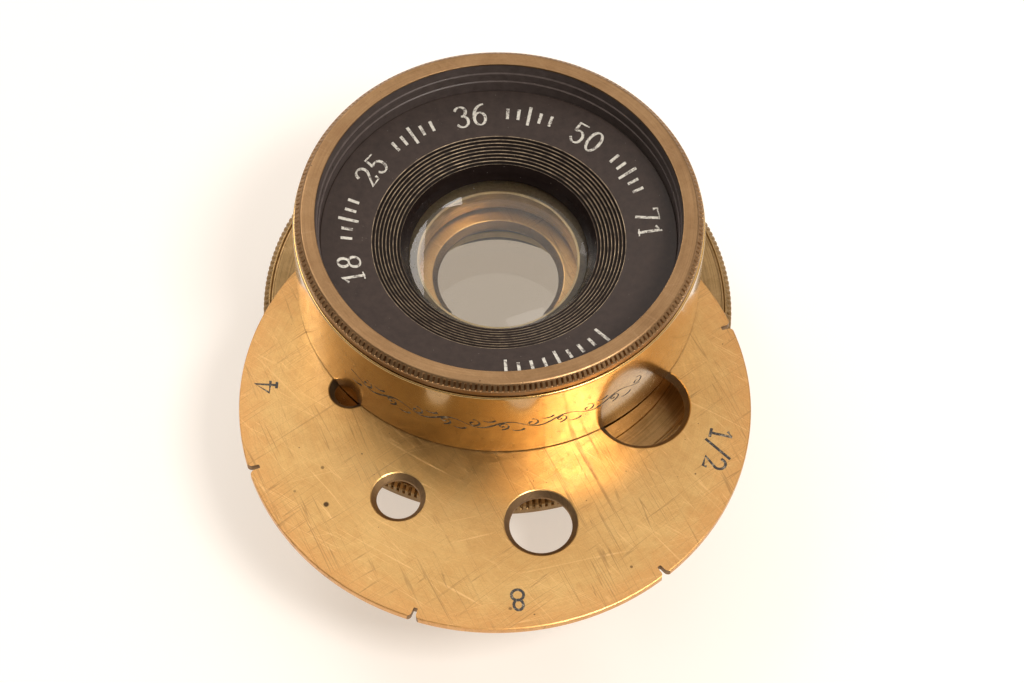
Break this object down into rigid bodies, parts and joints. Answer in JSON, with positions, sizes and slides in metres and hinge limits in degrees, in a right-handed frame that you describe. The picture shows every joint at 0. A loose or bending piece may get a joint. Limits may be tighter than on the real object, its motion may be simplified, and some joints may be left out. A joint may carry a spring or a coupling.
{
  "type": "camera lens",
  "caption": "Small brass wide-angle camera lens with an eccentric rotating wheel of stops, a knurled front cell and a knurled shoulder ring over a mounting thread.",
  "frame": {"origin": "on the optical axis, in the plane where the shoulder ring seats on a lens board", "axes": "+Z along the optical axis towards the front of the lens; the stop wheel hangs out towards -Y; +X to the right seen from the front with the wheel down"},
  "size_m": [0.0372, 0.047, 0.0188],
  "materials": {
    "barrel_brass": "glossy lacquered brass, turned",
    "shoulder_brass": "dull olive brass, turned, with a knurled edge",
    "wheel_brass": "satin brass, finely scratched, with tarnish at the edge",
    "bush_brass": "bright turned brass",
    "rim_brass": "brown satin brass with dark pits, knurled edge",
    "ring_brass": "olive brass, turned",
    "plate_black": "matt black lacquer on brass",
    "face_black": "semi-matt black lacquer on brass, with worn turned grooves",
    "screw_steel": "dark polished steel",
    "washer_steel": "satin spring steel",
    "spring_steel": "blued spring steel",
    "crown_glass": "polished optical glass",
    "flint_glass": "polished optical glass"
  },
  "bodies": {
    "barrel": {"barrel": "barrel_brass", "shoulder_ring": "shoulder_brass", "wheel_plate": "plate_black", "plate_screws": "screw_steel", "pivot_screw": "screw_steel", "pivot_washer": "washer_steel", "detent_spring": "spring_steel", "spring_screws": "screw_steel"},
    "wheel": {"stop_wheel": "wheel_brass", "wheel_bush": "bush_brass"},
    "front_glass": {"front_crown_lens": "crown_glass", "front_flint_lens": "flint_glass"},
    "front_cell": {"front_cell": "rim_brass", "front_face": "face_black", "front_glass_ring": "ring_brass"},
    "rear_glass": {"rear_crown_lens": "crown_glass", "rear_flint_lens": "flint_glass"},
    "rear_cell": {"rear_cell": "rim_brass", "rear_face": "face_black", "rear_glass_ring": "ring_brass"}
  },
  "joints": [
    {"name": "wheel_turn", "type": "hinge", "parent": "barrel", "child": "wheel", "pos_m": [0, -0.01064, 0.0045], "axis": [0, 0, 1], "continuous": true, "deforming": ["detent_spring"]},
    {"name": "front_cell_travel", "type": "slide", "parent": "barrel", "child": "front_glass", "axis": [0, 0, 1], "range_m": [0, 0.0025]},
    {"name": "front_cell_turn", "type": "hinge", "parent": "front_glass", "child": "front_cell", "pos_m": [0, 0, 0.0105], "axis": [0, 0, 1], "range_deg": [0, 1801]},
    {"name": "rear_cell_travel", "type": "slide", "parent": "barrel", "child": "rear_glass", "axis": [0, 0, -1], "range_m": [0, 0.0025]},
    {"name": "rear_cell_turn", "type": "hinge", "parent": "rear_glass", "child": "rear_cell", "pos_m": [0, 0, -0.002], "axis": [0, 0, -1], "range_deg": [0, 1801]}
  ],
  "couplings": [
    {"joint": "front_cell_turn", "follows": "front_cell_travel", "rad_per_m": 12566},
    {"joint": "rear_cell_turn", "follows": "rear_cell_travel", "rad_per_m": 12566}
  ]
}
